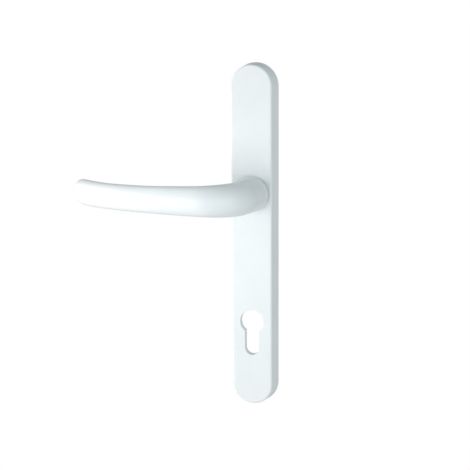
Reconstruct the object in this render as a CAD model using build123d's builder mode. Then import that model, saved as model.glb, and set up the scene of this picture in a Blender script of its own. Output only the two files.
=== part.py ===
"""Outside lever handle of a multipoint door, on a long backplate cut out for a euro-profile cylinder.

The origin is on the spindle axis in the plane of the door. +Z runs up the plate, -Y points away from
the door and the lever reaches along -X. Millimetres.
"""

from build123d import *
import os
from math import asin, atan, cos, degrees, radians, sin, sqrt

os.makedirs("parts", exist_ok=True)

# Backplate
PLATE_TOP = 90.0
PLATE_BOTTOM = -155.5
PLATE_LENGTH = PLATE_TOP - PLATE_BOTTOM
PLATE_MID = (PLATE_TOP + PLATE_BOTTOM) / 2
PLATE_WIDTH = 33.2
PLATE_DEPTH = 12.0
FACE_INSET = 2.1
FACE_ROUND = 1.5
WALL = 2.4
RIM = 3.6
WALL_TO_WALL = PLATE_WIDTH - 2 * RIM + 1
FLOOR = PLATE_DEPTH - WALL
RIB_HEIGHT = 3.0
RIB_THICK = 1.4
CROSS_RIBS_Z = (33, 48, 63, -33, -49, -65, -126)
LONG_RIBS_Z = (50, -49)
LONG_RIB = 34.0
GROOVE_OUTER_INSET = 0.9
GROOVE_INNER_INSET = 2.6
GROOVE_DEPTH = 1.2

# Standard interfaces: spindle to cylinder 92, door screws 215 apart, 8 mm spindle, M5 screws
CYLINDER_Z = -92.0
CUTOUT_RADIUS = 8.75
CUTOUT_STEM = 10.5
CUTOUT_HEIGHT = 33.5
STEM_FOOT_Z = CYLINDER_Z + CUTOUT_RADIUS - CUTOUT_HEIGHT + CUTOUT_STEM / 2
COLLAR_WIDTH = 2.0
COLLAR_HEIGHT = 2.2
SCREW_CENTRES = 215.0
POST_TOP_Z = 75.0
POST_ZS = (POST_TOP_Z, POST_TOP_Z - SCREW_CENTRES)
POST_RADIUS = 4.0
POST_BEHIND = 9.0
POST_SOCKET = 8.6
POST_CHAMFER = 0.6
POST_BOSS_RADIUS = 6.4
POST_BOSS_BACK = 1.5
M5_TAPPED_RADIUS = 2.1
M5_TAPPED_DEPTH = 14.0
SPINDLE_SQUARE = 8.1
SOCKET_CORNER = 0.5
SOCKET_DEPTH = 27.0

# Neck, its bearing and what holds it, as distances in front of the door
NECK_RADIUS = 7.0
NECK_END = 0.9
NECK_FLATS = 11.8
RUNNING_GAP = 0.05
BOSS_RADIUS = 9.4
BOSS_BACK = 5.4
BUSH_RADIUS = 8.2
FLANGE_RADIUS = 9.6
FLANGE_RECESS = 1.4
FLANGE_PROUD = 1.1
SEAL_RADIUS = 12.0
SEAL_RECESS = 0.8
LEVER_FOOT = PLATE_DEPTH + FLANGE_PROUD + RUNNING_GAP
THRUST_THICK = 0.5
WASHER_PLAY = 0.1
DRIVE_THICK = 1.5
DRIVE_BACK = BOSS_BACK - THRUST_THICK - RUNNING_GAP - DRIVE_THICK
CLIP_THICK = 1.0
SPRING_WASHER_DISH = 0.6
SPRING_WASHER_THICK = 0.3
SPRING_WASHER_RADIUS = 8.6
CLIP_FRONT = DRIVE_BACK - SPRING_WASHER_DISH
CLIP_GROOVE_RADIUS = 6.6
CLIP_RADIUS = 8.8
CLIP_GAP = 1.2
CLIP_EAR_X = 1.9
CLIP_EAR_Z = -7.85
CLIP_EAR_RADIUS = 1.5
CLIP_EAR_HOLE = 0.6

# Return spring, the cast fork that holds its front leg, the drive plate's fork on its rear leg, the stops
WIRE = 1.4
COIL_RADIUS = 10.4
COIL_PITCH = 1.45
COIL_TURNS = 2
COIL_FRONT = FLOOR - WIRE / 2 - 0.1
COIL_BACK = COIL_FRONT - COIL_PITCH * COIL_TURNS
LEG_END = 15.4
LEG_PLAY = 0.05
LUG_INNER = 12.0
LUG_OUTER = 16.0
LUG_WIDTH = 1.8
LUG_BACK = COIL_FRONT - WIRE / 2 - 0.4
PRONG_INNER = 12.4
PRONG_OUTER = 14.0
PRONG_WIDTH = 1.5
PRONG_FRONT = COIL_BACK + WIRE / 2
ARM_HALF = 3.0
ARM_END = 13.2
TRAVEL = 45.0
STOP_GAP = 0.05
STOP_THICK = 3.5
STOP_LENGTH = 12.0
STOP_CLEAR_RADIUS = 11.5

# Cover over the spring
COVER_HALF = 12.6
COVER_END = 24.0
COVER_CORNER = 5.0
COVER_FRONT = 3.0
COVER_THICK = 0.8
COVER_HOLE = 10.2
PILLAR_ZS = (20.3, -20.3)
PILLAR_RADIUS = 2.9
COVER_SCREW_RADIUS = 1.5
COVER_SCREW_DEPTH = 5.0
COVER_SCREW_END_GAP = 0.5
COVER_HEAD_RADIUS = 2.75
COVER_HEAD = 1.5
COVER_HEAD_ROUND = 0.5
DRIVE_RADIUS = 1.1
DRIVE_DEPTH = 1.0

# Lever: the centreline leaves the plate straight, turns through a tight bend and returns in a long arc
HUB_RADIUS = 11.5
FOOT_RADIUS = 12.4
FOOT_THICK = 0.6
FLARE = 4.0
FLARE_STEP = FOOT_RADIUS - HUB_RADIUS
FLARE_RADIUS = (FLARE**2 + FLARE_STEP**2) / (2 * FLARE_STEP)
ROUND_LENGTH = 16.0
STRAIGHT_END = 32.3
BEND_RADIUS = 25.0
GRIP_RADIUS = 163.0
GRIP_CENTRE_X = -32.0
TIP_X = -126.0
TIP_ROUND_OVER = 9.4
TIP_ROUND_UNDER = 14.0
TIP_HEIGHT_OVER = 10.2
TIP_HEIGHT_UNDER = 8.4
GRIP_HALF_THICK = 6.1


def in_front(distance):
    """Sketch plane the given distance in front of the door: local x is +X and local y is +Z."""
    return Plane.XZ.offset(distance)


def cutout_outline(distance, wider):
    """Round top and narrower stem with a round foot, grown all round, the distance in front of the door."""
    with BuildSketch(in_front(distance)) as outline:
        with Locations((0, CYLINDER_Z)):
            Circle(CUTOUT_RADIUS + wider)
        with Locations((0, (CYLINDER_Z + STEM_FOOT_Z) / 2)):
            Rectangle(CUTOUT_STEM + 2 * wider, CYLINDER_Z - STEM_FOOT_Z)
        with Locations((0, STEM_FOOT_Z)):
            Circle(CUTOUT_STEM / 2 + wider)
    return outline.sketch


# One casting: tapered sides, round ends, hollow behind, with bosses, lug, stops and ribs cast in.
with BuildPart() as backplate:
    with BuildSketch(in_front(0)):
        with Locations((0, PLATE_MID)):
            SlotOverall(PLATE_LENGTH, PLATE_WIDTH, rotation=90)
    extrude(amount=PLATE_DEPTH, taper=degrees(atan(FACE_INSET / PLATE_DEPTH)))
    fillet(backplate.faces().sort_by(Axis.Y)[0].edges(), FACE_ROUND)
    with BuildSketch(in_front(0)):
        with Locations((0, PLATE_MID)):
            SlotOverall(PLATE_LENGTH - 2 * RIM, PLATE_WIDTH - 2 * RIM, rotation=90)
    extrude(amount=FLOOR, mode=Mode.SUBTRACT)
    # Bosses for the neck, the cover screws and the fixing posts
    with BuildSketch(in_front(BOSS_BACK)):
        Circle(BOSS_RADIUS)
    extrude(amount=FLOOR - BOSS_BACK)
    with BuildSketch(in_front(COVER_FRONT)):
        with Locations([(0, z) for z in PILLAR_ZS]):
            Circle(PILLAR_RADIUS)
    extrude(amount=FLOOR - COVER_FRONT)
    with BuildSketch(in_front(POST_BOSS_BACK)):
        with Locations([(0, z) for z in POST_ZS]):
            Circle(POST_BOSS_RADIUS)
    extrude(amount=FLOOR - POST_BOSS_BACK)
    # Fork that holds the spring's front leg, and the two stops that the drive plate's lower arm meets
    with BuildSketch(in_front(LUG_BACK)):
        lug_x = WIRE / 2 + LEG_PLAY + LUG_WIDTH / 2
        with Locations([(side * lug_x, (LUG_INNER + LUG_OUTER) / 2) for side in (-1, 1)]):
            Rectangle(LUG_WIDTH, LUG_OUTER - LUG_INNER)
    extrude(amount=FLOOR - LUG_BACK)
    with BuildSketch(in_front(DRIVE_BACK)):
        for side in (-1, 1):
            across = ARM_HALF + STOP_GAP + STOP_THICK / 2
            stop_x = side * (ARM_END + across) * sin(radians(TRAVEL))
            stop_z = (across - ARM_END) * cos(radians(TRAVEL))
            with Locations((stop_x, stop_z)):
                Rectangle(STOP_THICK, STOP_LENGTH, rotation=side * TRAVEL)
        Circle(STOP_CLEAR_RADIUS, mode=Mode.SUBTRACT)
        Rectangle(WALL_TO_WALL, PLATE_LENGTH, mode=Mode.INTERSECT)
    extrude(amount=FLOOR - DRIVE_BACK)
    # Stiffening ribs on the cavity's floor
    with BuildSketch(in_front(FLOOR - RIB_HEIGHT)):
        with Locations([(0, z) for z in CROSS_RIBS_Z]):
            Rectangle(WALL_TO_WALL, RIB_THICK)
        with Locations([(0, z) for z in LONG_RIBS_Z]):
            Rectangle(RIB_THICK, LONG_RIB)
    extrude(amount=RIB_HEIGHT)
    # Bearing bore, flange and seal recesses in the face
    Cylinder(BUSH_RADIUS, 3 * PLATE_DEPTH, rotation=(90, 0, 0), mode=Mode.SUBTRACT)
    with BuildSketch(in_front(PLATE_DEPTH - FLANGE_RECESS)):
        Circle(FLANGE_RADIUS)
    extrude(amount=PLATE_DEPTH, mode=Mode.SUBTRACT)
    with BuildSketch(in_front(PLATE_DEPTH - SEAL_RECESS)):
        Circle(SEAL_RADIUS)
    extrude(amount=PLATE_DEPTH, mode=Mode.SUBTRACT)
    # Cut-out for the cylinder, with a raised collar round it in the hollow
    extrude(cutout_outline(FLOOR - COLLAR_HEIGHT, COLLAR_WIDTH), amount=COLLAR_HEIGHT)
    extrude(cutout_outline(0, 0), amount=2 * PLATE_DEPTH, mode=Mode.SUBTRACT)
    # Sockets for the fixing posts, holes for the cover screws and the groove for the gasket
    with BuildSketch(in_front(0)):
        with Locations([(0, z) for z in POST_ZS]):
            Circle(POST_RADIUS)
    extrude(amount=POST_SOCKET, mode=Mode.SUBTRACT)
    with BuildSketch(in_front(COVER_FRONT)):
        with Locations([(0, z) for z in PILLAR_ZS]):
            Circle(COVER_SCREW_RADIUS)
    extrude(amount=COVER_SCREW_DEPTH, mode=Mode.SUBTRACT)
    with BuildSketch(in_front(0)) as gasket_groove:
        with Locations((0, PLATE_MID)):
            for inset, mode in ((GROOVE_OUTER_INSET, Mode.ADD), (GROOVE_INNER_INSET, Mode.SUBTRACT)):
                SlotOverall(PLATE_LENGTH - 2 * inset, PLATE_WIDTH - 2 * inset, rotation=90, mode=mode)
    extrude(amount=GROOVE_DEPTH, mode=Mode.SUBTRACT)
backplate.part.label = "backplate"
export_step(backplate.part, "parts/backplate.step")

# Foam strip that fills the groove, flush with the rim.
with BuildPart() as perimeter_gasket:
    extrude(gasket_groove.sketch, amount=GROOVE_DEPTH)
perimeter_gasket.part.label = "perimeter_gasket"
export_step(perimeter_gasket.part, "parts/perimeter_gasket.step")

# Steel posts pressed into their bosses, with an M5 thread from behind.
for post_name, post_z in zip(("fixing_post_upper", "fixing_post_lower"), POST_ZS):
    with BuildPart() as post:
        with BuildSketch(in_front(-POST_BEHIND)):
            with Locations((0, post_z)):
                Circle(POST_RADIUS)
        extrude(amount=POST_BEHIND + POST_SOCKET)
        chamfer(post.faces().sort_by(Axis.Y)[-1].edges(), POST_CHAMFER)
        with BuildSketch(in_front(-POST_BEHIND)):
            with Locations((0, post_z)):
                Circle(M5_TAPPED_RADIUS)
        extrude(amount=M5_TAPPED_DEPTH, mode=Mode.SUBTRACT)
    post.part.label = post_name
    export_step(post.part, "parts/" + post_name + ".step")

# Flanged bearing for the neck.
with BuildPart() as neck_bush:
    with BuildSketch(in_front(BOSS_BACK)):
        Circle(BUSH_RADIUS)
    extrude(amount=PLATE_DEPTH - FLANGE_RECESS - BOSS_BACK)
    with BuildSketch(in_front(PLATE_DEPTH - FLANGE_RECESS)):
        Circle(FLANGE_RADIUS)
    extrude(amount=FLANGE_RECESS + FLANGE_PROUD)
    Cylinder(NECK_RADIUS + RUNNING_GAP, 3 * PLATE_DEPTH, rotation=(90, 0, 0), mode=Mode.SUBTRACT)
neck_bush.part.label = "neck_bush"
export_step(neck_bush.part, "parts/neck_bush.step")

# Ring round the flange that keeps rain out of the bearing.
with BuildPart() as hub_seal:
    with BuildSketch(in_front(PLATE_DEPTH - SEAL_RECESS)):
        Circle(SEAL_RADIUS)
        Circle(FLANGE_RADIUS, mode=Mode.SUBTRACT)
    extrude(amount=SEAL_RECESS + FLANGE_PROUD)
hub_seal.part.label = "hub_seal"
export_step(hub_seal.part, "parts/hub_seal.step")

# Washer between the boss and the drive plate.
with BuildPart() as thrust_washer:
    with BuildSketch(in_front(BOSS_BACK - THRUST_THICK)):
        Circle(BOSS_RADIUS)
        Circle(NECK_RADIUS + WASHER_PLAY, mode=Mode.SUBTRACT)
    extrude(amount=THRUST_THICK)
thrust_washer.part.label = "thrust_washer"
export_step(thrust_washer.part, "parts/thrust_washer.step")

# Two turns of wire round the boss; the front leg is held by the casting and the rear leg by the drive plate.
with BuildPart() as return_spring:
    with BuildLine() as coil:
        Helix(
            COIL_PITCH, COIL_FRONT - COIL_BACK, COIL_RADIUS, center=(0, -COIL_FRONT, 0), direction=(0, 1, 0)
        )
    with BuildSketch(Plane(origin=coil.line @ 0, z_dir=coil.line % 0)):
        Circle(WIRE / 2)
    sweep(path=coil.wires()[0], is_frenet=True)
    for leg_y in (-COIL_FRONT, -COIL_BACK):
        with Locations((0, leg_y, COIL_RADIUS)):
            Sphere(WIRE / 2)
        with Locations((0, leg_y, (COIL_RADIUS + LEG_END) / 2)):
            Cylinder(WIRE / 2, LEG_END - COIL_RADIUS)
return_spring.part.label = "return_spring"
export_step(return_spring.part, "parts/return_spring.step")

# Steel plate on the neck's flats: two bent prongs grip the spring's rear leg and an arm meets the stops.
with BuildPart() as drive_plate:
    prong_x = WIRE / 2 + LEG_PLAY + PRONG_WIDTH / 2
    with BuildSketch(in_front(DRIVE_BACK)):
        Circle(BOSS_RADIUS)
        with Locations((0, PRONG_OUTER / 2)):
            Rectangle(2 * prong_x + PRONG_WIDTH, PRONG_OUTER)
        with Locations((0, -ARM_END / 2)):
            Rectangle(2 * ARM_HALF, ARM_END)
    extrude(amount=DRIVE_THICK)
    with BuildSketch(in_front(DRIVE_BACK)):
        with Locations([(side * prong_x, (PRONG_INNER + PRONG_OUTER) / 2) for side in (-1, 1)]):
            Rectangle(PRONG_WIDTH, PRONG_OUTER - PRONG_INNER)
    extrude(amount=PRONG_FRONT - DRIVE_BACK)
    with BuildSketch(in_front(0)):
        Circle(NECK_RADIUS)
        Rectangle(NECK_FLATS, 3 * NECK_RADIUS, mode=Mode.INTERSECT)
    extrude(amount=PLATE_DEPTH, mode=Mode.SUBTRACT)
drive_plate.part.label = "drive_plate"
export_step(drive_plate.part, "parts/drive_plate.step")

# Dished washer that takes up the end play.
with BuildPart() as spring_washer:
    with BuildSketch(Plane.XY):
        with BuildLine():
            Polyline(
                (NECK_RADIUS + WASHER_PLAY, -DRIVE_BACK),
                (SPRING_WASHER_RADIUS, -CLIP_FRONT - SPRING_WASHER_THICK),
                (SPRING_WASHER_RADIUS, -CLIP_FRONT),
                (NECK_RADIUS + WASHER_PLAY, -DRIVE_BACK + SPRING_WASHER_THICK),
                close=True,
            )
        make_face()
    revolve(axis=Axis.Y)
spring_washer.part.label = "spring_washer"
export_step(spring_washer.part, "parts/spring_washer.step")

# Open ring sprung into the neck's groove, with a pierced ear each side of its gap.
with BuildPart() as circlip:
    with BuildSketch(in_front(CLIP_FRONT - CLIP_THICK)):
        Circle(CLIP_RADIUS)
        with Locations([(side * CLIP_EAR_X, CLIP_EAR_Z) for side in (-1, 1)]):
            Circle(CLIP_EAR_RADIUS)
        Circle(CLIP_GROOVE_RADIUS, mode=Mode.SUBTRACT)
        with Locations((0, -CLIP_RADIUS)):
            Rectangle(CLIP_GAP, CLIP_RADIUS, mode=Mode.SUBTRACT)
        with Locations([(side * CLIP_EAR_X, CLIP_EAR_Z) for side in (-1, 1)]):
            Circle(CLIP_EAR_HOLE, mode=Mode.SUBTRACT)
    extrude(amount=CLIP_THICK)
circlip.part.label = "circlip"
export_step(circlip.part, "parts/circlip.step")

# Pressed steel cover that keeps the spring in, open round the neck.
with BuildPart() as spring_cover:
    with BuildSketch(in_front(COVER_FRONT - COVER_THICK)):
        RectangleRounded(2 * COVER_HALF, 2 * COVER_END, COVER_CORNER)
        Circle(COVER_HOLE, mode=Mode.SUBTRACT)
        with Locations([(0, z) for z in PILLAR_ZS]):
            Circle(COVER_SCREW_RADIUS, mode=Mode.SUBTRACT)
    extrude(amount=COVER_THICK)
spring_cover.part.label = "spring_cover"
export_step(spring_cover.part, "parts/spring_cover.step")

# Two screws with a six-lobe drive, drawn as a hexagon.
for screw_name, screw_z in zip(("cover_screw_upper", "cover_screw_lower"), PILLAR_ZS):
    with BuildPart() as cover_screw:
        with BuildSketch(in_front(COVER_FRONT - COVER_THICK)):
            with Locations((0, screw_z)):
                Circle(COVER_SCREW_RADIUS)
        extrude(amount=COVER_THICK + COVER_SCREW_DEPTH - COVER_SCREW_END_GAP)
        with BuildSketch(in_front(COVER_FRONT - COVER_THICK)):
            with Locations((0, screw_z)):
                Circle(COVER_HEAD_RADIUS)
        extrude(amount=-COVER_HEAD)
        fillet(cover_screw.faces().filter_by(Axis.Y).sort_by(Axis.Y)[-1].edges(), COVER_HEAD_ROUND)
        with BuildSketch(in_front(COVER_FRONT - COVER_THICK - COVER_HEAD)):
            with Locations((0, screw_z)):
                RegularPolygon(DRIVE_RADIUS, 6)
        extrude(amount=DRIVE_DEPTH, mode=Mode.SUBTRACT)
    cover_screw.part.label = screw_name
    export_step(cover_screw.part, "parts/" + screw_name + ".step")


# One casting: neck, foot, bend and grip, with a square socket for the spindle.
# Each station is a distance along the centreline from the foot, with the section's two half-sizes there.
STATIONS = (
    (ROUND_LENGTH, HUB_RADIUS, HUB_RADIUS),
    (28.0, 11.2, 10.8),
    (41.0, 10.7, 9.3),
    (57.0, 10.0, 7.7),
    (73.0, 9.55, 6.7),
    (90.0, 9.15, 6.2),
    (110.0, 9.0, GRIP_HALF_THICK),
    (130.0, 9.1, GRIP_HALF_THICK),
    (145.0, 9.4, GRIP_HALF_THICK),
)
grip_centre_y = STRAIGHT_END - sqrt((GRIP_RADIUS - BEND_RADIUS) ** 2 - (BEND_RADIUS + GRIP_CENTRE_X) ** 2)
turn_left = degrees(asin((-BEND_RADIUS - GRIP_CENTRE_X) / (GRIP_RADIUS - BEND_RADIUS)))
tip_angle = degrees(asin((TIP_X - GRIP_CENTRE_X) / GRIP_RADIUS))
with BuildLine() as centreline:
    Line((0, -LEVER_FOOT), (0, -STRAIGHT_END))
    CenterArc((-BEND_RADIUS, -STRAIGHT_END), BEND_RADIUS, 0, turn_left - 90)
    CenterArc((GRIP_CENTRE_X, -grip_centre_y), GRIP_RADIUS, turn_left - 90, tip_angle - turn_left)
path = centreline.wires()[0]
lever_length = path.length


def tip_section(angle):
    """Section near the tip: place along the path, rise, half-height and half-thickness.

    The angle runs from 90 degrees where the rounding begins to 0 at the very end. The underside's
    rounding is longer than the top's, so the tip rises a little.
    """
    before_end = TIP_ROUND_UNDER * (1 - cos(radians(angle)))
    heights = []
    for reach, height in ((TIP_ROUND_OVER, TIP_HEIGHT_OVER), (TIP_ROUND_UNDER, TIP_HEIGHT_UNDER)):
        into = max(0, 1 - before_end / reach)
        heights.append(height * sqrt(1 - into**2))
    over, under = heights
    into = max(0, 1 - before_end / GRIP_HALF_THICK)
    half_thick = GRIP_HALF_THICK * sqrt(1 - into**2)
    return lever_length - before_end, (over - under) / 2, (over + under) / 2, half_thick


grip_sections = tuple((along, 0, high, thick) for along, high, thick in STATIONS)
tip_sections = tuple(tip_section(angle) for angle in (90, 78, 66, 54, 42, 30, 18, 8))
with BuildPart() as lever:
    for stretch in (grip_sections + tip_sections[:1], tip_sections):
        for along, rise, half_height, half_thick in stretch:
            at = path.position_at(along, position_mode=PositionMode.LENGTH)
            forward = path.tangent_at(along, position_mode=PositionMode.LENGTH)
            with BuildSketch(Plane(origin=at + Vector(0, 0, rise), x_dir=(0, 0, 1), z_dir=forward)):
                Ellipse(half_height, half_thick)
        loft()
    with BuildSketch(Plane.XY):
        foot_edge_y = -LEVER_FOOT - FOOT_THICK
        flare_end_y = foot_edge_y - FLARE
        with BuildLine():
            Polyline((0, -LEVER_FOOT), (FOOT_RADIUS, -LEVER_FOOT), (FOOT_RADIUS, foot_edge_y))
            RadiusArc((FOOT_RADIUS, foot_edge_y), (HUB_RADIUS, flare_end_y), FLARE_RADIUS)
            Polyline(
                (HUB_RADIUS, flare_end_y),
                (HUB_RADIUS, -LEVER_FOOT - ROUND_LENGTH),
                (0, -LEVER_FOOT - ROUND_LENGTH),
                (0, -LEVER_FOOT),
            )
        make_face()
    revolve(axis=Axis.Y)
    # Neck: round in the bush, flats where the drive plate sits, a groove for the circlip
    with BuildSketch(in_front(NECK_END)):
        Circle(NECK_RADIUS)
        Rectangle(NECK_FLATS, 3 * NECK_RADIUS, mode=Mode.INTERSECT)
    extrude(amount=PLATE_DEPTH)
    with BuildSketch(in_front(DRIVE_BACK + DRIVE_THICK)):
        Circle(NECK_RADIUS)
    extrude(amount=PLATE_DEPTH)
    with BuildSketch(in_front(CLIP_FRONT - CLIP_THICK)):
        Circle(HUB_RADIUS)
        Circle(CLIP_GROOVE_RADIUS, mode=Mode.SUBTRACT)
    extrude(amount=CLIP_THICK, mode=Mode.SUBTRACT)
    with BuildSketch(in_front(0)):
        RectangleRounded(SPINDLE_SQUARE, SPINDLE_SQUARE, SOCKET_CORNER)
    extrude(amount=SOCKET_DEPTH, mode=Mode.SUBTRACT)
lever.part.label = "lever"
export_step(lever.part, "parts/lever.step")
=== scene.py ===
"""Looks of an outside door handle: a sprung lever on a long backplate cut out for a euro cylinder."""

import math

import bmesh
import bpy
from mathutils import Matrix, Vector


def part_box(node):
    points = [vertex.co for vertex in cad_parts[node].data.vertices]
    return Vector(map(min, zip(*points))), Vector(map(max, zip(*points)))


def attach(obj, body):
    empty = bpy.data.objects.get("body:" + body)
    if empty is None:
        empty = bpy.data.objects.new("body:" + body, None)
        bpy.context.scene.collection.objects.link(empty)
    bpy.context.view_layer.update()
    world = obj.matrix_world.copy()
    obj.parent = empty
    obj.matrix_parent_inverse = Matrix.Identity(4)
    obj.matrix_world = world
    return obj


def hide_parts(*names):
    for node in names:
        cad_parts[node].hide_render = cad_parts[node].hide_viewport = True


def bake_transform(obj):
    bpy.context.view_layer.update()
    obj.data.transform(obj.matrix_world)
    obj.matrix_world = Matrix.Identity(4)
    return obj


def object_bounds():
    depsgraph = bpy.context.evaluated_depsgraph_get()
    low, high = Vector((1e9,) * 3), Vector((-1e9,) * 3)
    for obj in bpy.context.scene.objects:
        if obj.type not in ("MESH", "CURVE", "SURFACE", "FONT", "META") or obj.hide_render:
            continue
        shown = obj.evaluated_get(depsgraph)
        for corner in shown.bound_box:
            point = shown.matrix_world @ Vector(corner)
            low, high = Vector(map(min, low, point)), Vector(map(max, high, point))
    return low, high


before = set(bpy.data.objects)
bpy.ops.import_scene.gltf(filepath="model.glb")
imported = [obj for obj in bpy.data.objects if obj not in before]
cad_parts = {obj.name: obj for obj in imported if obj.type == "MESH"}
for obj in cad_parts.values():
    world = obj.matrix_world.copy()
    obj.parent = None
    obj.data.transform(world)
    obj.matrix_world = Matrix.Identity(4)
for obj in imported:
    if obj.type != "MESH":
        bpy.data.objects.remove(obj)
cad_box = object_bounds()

MM = 0.001


# ---- Powder coat ------------------------------------------------------------------------------------
# The lever and the backplate are zinc castings sprayed with white polyester powder and baked. The coat
# flows out smooth, with a faint orange peel about a millimetre across and a soft satin gloss.
COAT_WHITE = (0.84, 0.885, 0.90)
COAT_SHADE = (0.815, 0.86, 0.875)
COAT_TONE_SIZE = 22 * MM
COAT_GLOSS_SIZE = 6 * MM
COAT_ROUGHNESS = (0.33, 0.40)
PEEL_SIZE = 1.1 * MM
PEEL_DEPTH = 0.012 * MM


def node(tree, kind, inputs=None, **settings):
    """A node of that kind, with its settings and its inputs given as values or as sockets to link."""
    made = tree.nodes.new(kind)
    for key, value in settings.items():
        setattr(made, key, value)
    for key, value in (inputs or {}).items():
        if isinstance(value, bpy.types.NodeSocket):
            tree.links.new(value, made.inputs[key])
        else:
            made.inputs[key].default_value = value
    return made


def surface(name, rough, metal=0.0, **sockets):
    """A new material, its node tree, its Principled shader and the object coordinates."""
    material = bpy.data.materials.new(name)
    material.use_nodes = True
    tree = material.node_tree
    shader = tree.nodes["Principled BSDF"]
    shader.inputs["Roughness"].default_value = rough
    shader.inputs["Metallic"].default_value = metal
    for key, value in sockets.items():
        shader.inputs[key.replace("_", " ")].default_value = value
    place = node(tree, "ShaderNodeTexCoord").outputs["Object"]
    return material, tree, shader, place


def noise(tree, place, size, detail=3.0):
    """Noise with features about that size in metres, as a 0 to 1 factor."""
    inputs = {"Vector": place, "Scale": 1 / size, "Detail": detail}
    return node(tree, "ShaderNodeTexNoise", inputs).outputs["Fac"]


def mixed(tree, factor, first, second):
    """A colour between two colours or sockets."""
    mix = node(tree, "ShaderNodeMix", data_type="RGBA")
    for socket, value in ((mix.inputs[0], factor), (mix.inputs[6], first), (mix.inputs[7], second)):
        if isinstance(value, bpy.types.NodeSocket):
            tree.links.new(value, socket)
        elif isinstance(value, tuple):
            socket.default_value = (*value, 1.0)
        else:
            socket.default_value = value
    return mix.outputs[2]


def spread(tree, value, low, high, to_low=0.0, to_high=1.0):
    """The value mapped from one range to another, held at the ends."""
    inputs = {"Value": value, "From Min": low, "From Max": high, "To Min": to_low, "To Max": to_high}
    return node(tree, "ShaderNodeMapRange", inputs).outputs["Result"]


def bump(tree, shader, height, depth):
    """Relief of that depth in metres, driven by a 0 to 1 height."""
    made = node(tree, "ShaderNodeBump", {"Height": height, "Distance": depth, "Strength": 1.0})
    tree.links.new(made.outputs["Normal"], shader.inputs["Normal"])


def powder_coat(name):
    """White powder coat with a faint change of tone; its colour and gloss are returned for more layers."""
    material, tree, shader, place = surface(name, COAT_ROUGHNESS[0])
    tone = spread(tree, noise(tree, place, COAT_TONE_SIZE), 0.35, 0.65)
    white = mixed(tree, tone, COAT_SHADE, COAT_WHITE)
    tree.links.new(white, shader.inputs["Base Color"])
    gloss = spread(tree, noise(tree, place, COAT_GLOSS_SIZE), 0.3, 0.7, *COAT_ROUGHNESS)
    tree.links.new(gloss, shader.inputs["Roughness"])
    bump(tree, shader, noise(tree, place, PEEL_SIZE, 1.5), PEEL_DEPTH)
    return material, tree, shader, place, white, gloss


white_coat = powder_coat("white_powder_coat")[0]


MESH_GAP = 0.0005 * MM
FLAT_WITHIN = math.radians(0.3)
SHARP_FROM = math.radians(35)


def finished_copy(node_name, material, slot_name, body, edge=0.0, segments=2):
    """A copy of a CAD node with flat faces merged and edges softened by that width, standing for the node."""
    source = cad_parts[node_name]
    piece = source.copy()
    piece.data = source.data.copy()
    for key in list(piece.keys()):
        del piece[key]
    piece.parent = None
    piece.name = node_name + "_piece"
    bpy.context.scene.collection.objects.link(piece)
    body_mesh = bmesh.new()
    body_mesh.from_mesh(piece.data)
    bmesh.ops.remove_doubles(body_mesh, verts=body_mesh.verts, dist=MESH_GAP)
    bmesh.ops.dissolve_limit(
        body_mesh, angle_limit=FLAT_WITHIN, verts=body_mesh.verts, edges=body_mesh.edges
    )
    body_mesh.to_mesh(piece.data)
    body_mesh.free()
    piece.data.shade_smooth()
    piece.data.set_sharp_from_angle(angle=SHARP_FROM)
    if edge:
        bevel = piece.modifiers.new("edge", "BEVEL")
        bevel.width = edge
        bevel.segments = segments
        bevel.limit_method = "ANGLE"
        bevel.angle_limit = SHARP_FROM
    level = piece.modifiers.new("level", "WEIGHTED_NORMAL")
    level.keep_sharp = True
    level.weight = 100
    dressed(piece, material, slot_name, body, node_name)


def plain_mesh(piece, material):
    """Applies the piece's modifiers and paints it."""
    depsgraph = bpy.context.evaluated_depsgraph_get()
    mesh = bpy.data.meshes.new_from_object(piece.evaluated_get(depsgraph), depsgraph=depsgraph)
    piece.modifiers.clear()
    piece.data = mesh
    mesh.materials.clear()
    mesh.materials.append(material)


def dressed(piece, material, slot_name, body, *replaced):
    """Makes the piece plain, paints it and hands it to its body, standing for the CAD nodes named."""
    plain_mesh(piece, material)
    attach(piece, body)
    if replaced:
        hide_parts(*replaced)


# ---- Backplate --------------------------------------------------------------------------------------
# One zinc pressure die casting with tapered sides and round ends, hollow behind, with bosses, ribs,
# stops and a spring fork cast in. Its edges are tumbled soft before it is coated, and the spray hardly
# reaches into the hollow, where the grey as-cast zinc shows through thin, grainy overspray.
HOLLOW_RADIUS = 13.4 * MM
HOLLOW_FLOOR = 9.9 * MM
HOLLOW_FADE = 2.5 * MM
CAST_ZINC = (0.46, 0.47, 0.48)
CAST_METALLIC = 0.8
CAST_ROUGHER = 0.12
SPECKLE_SIZE = 0.35 * MM
CLOUD_SIZE = 14 * MM
CUTOUT_Z = -92.0 * MM
CUTOUT_RADIUS = 8.75 * MM
CUTOUT_STEM = 5.25 * MM
CUTOUT_FOOT_Z = -116.75 * MM
COATED_RIM = 0.6 * MM


def calc(tree, operation, first, second=0.0):
    """A Math node's result."""
    return node(tree, "ShaderNodeMath", {0: first, 1: second}, operation=operation).outputs[0]


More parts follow.
